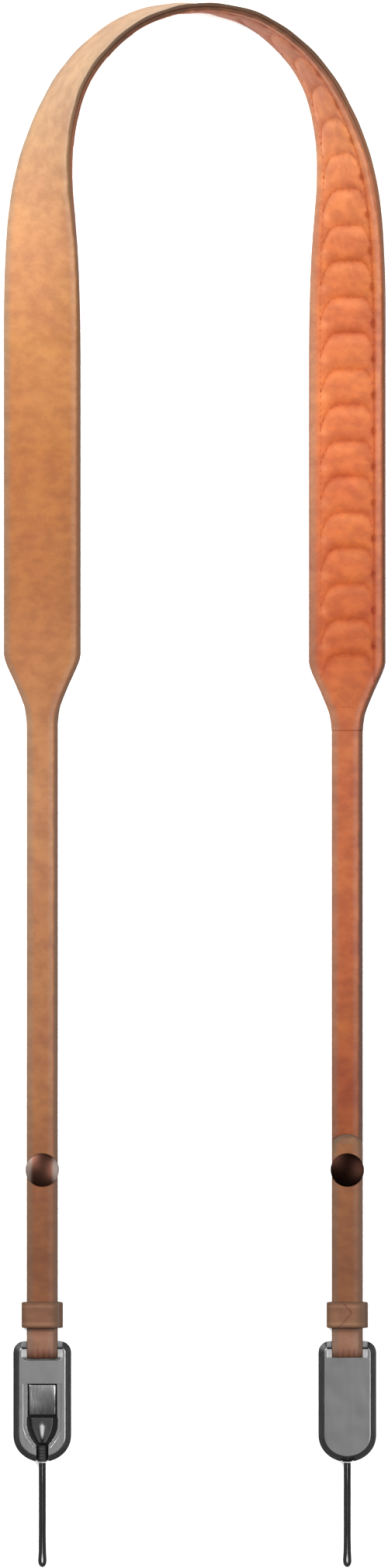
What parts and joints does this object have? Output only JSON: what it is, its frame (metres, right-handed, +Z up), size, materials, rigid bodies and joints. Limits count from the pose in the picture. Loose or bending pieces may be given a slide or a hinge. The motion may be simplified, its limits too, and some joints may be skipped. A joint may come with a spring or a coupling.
{
  "type": "camera neck strap",
  "caption": "Leather camera neck strap with a quilted neck pad, snapped and keeper-held folded ends, quick-release buckles and thin cord loops.",
  "frame": {"origin": "on the surface the strap lies on, under the middle of its bounding box without the two cord loops", "axes": "+X towards the leg that shows the quilted lining, +Y along both legs towards the arch at the neck, +Z up from the surface"},
  "size_m": [0.1378, 0.5643, 0.028],
  "materials": {
    "grain_leather": "matte",
    "lining_leather": "matte",
    "buckle_metal": "satin",
    "tab_metal": "satin",
    "anchor_plastic": "satin",
    "ferrule_rubber": "matte",
    "snap_metal": "polished dark nickel",
    "cord_fabric": "woven"
  },
  "bodies": {
    "strap": {"leather_band": "grain_leather", "quilted_lining": "lining_leather", "buckle_body_left": "buckle_metal", "cord_anchor_left": "anchor_plastic", "cord_ferrule_left": "ferrule_rubber", "keeper_loop_left": "grain_leather", "snap_cap_left": "snap_metal", "snap_back_left": "snap_metal", "cord_loop_left": "cord_fabric", "buckle_body_right": "buckle_metal", "cord_anchor_right": "anchor_plastic", "cord_ferrule_right": "ferrule_rubber", "keeper_loop_right": "grain_leather", "snap_cap_right": "snap_metal", "snap_back_right": "snap_metal", "cord_loop_right": "cord_fabric"},
    "left_release": {"release_tab_left": "tab_metal"},
    "right_release": {"release_tab_right": "tab_metal"}
  },
  "joints": [
    {"name": "left_release_press", "type": "slide", "parent": "strap", "child": "left_release", "axis": [0, 0, -1], "range_m": [0, 0.0008], "stiffness_N_per_m": 300, "springref_m": -0.001},
    {"name": "right_release_press", "type": "slide", "parent": "strap", "child": "right_release", "axis": [0, 0, 1], "range_m": [0, 0.0008], "stiffness_N_per_m": 300, "springref_m": -0.001}
  ]
}
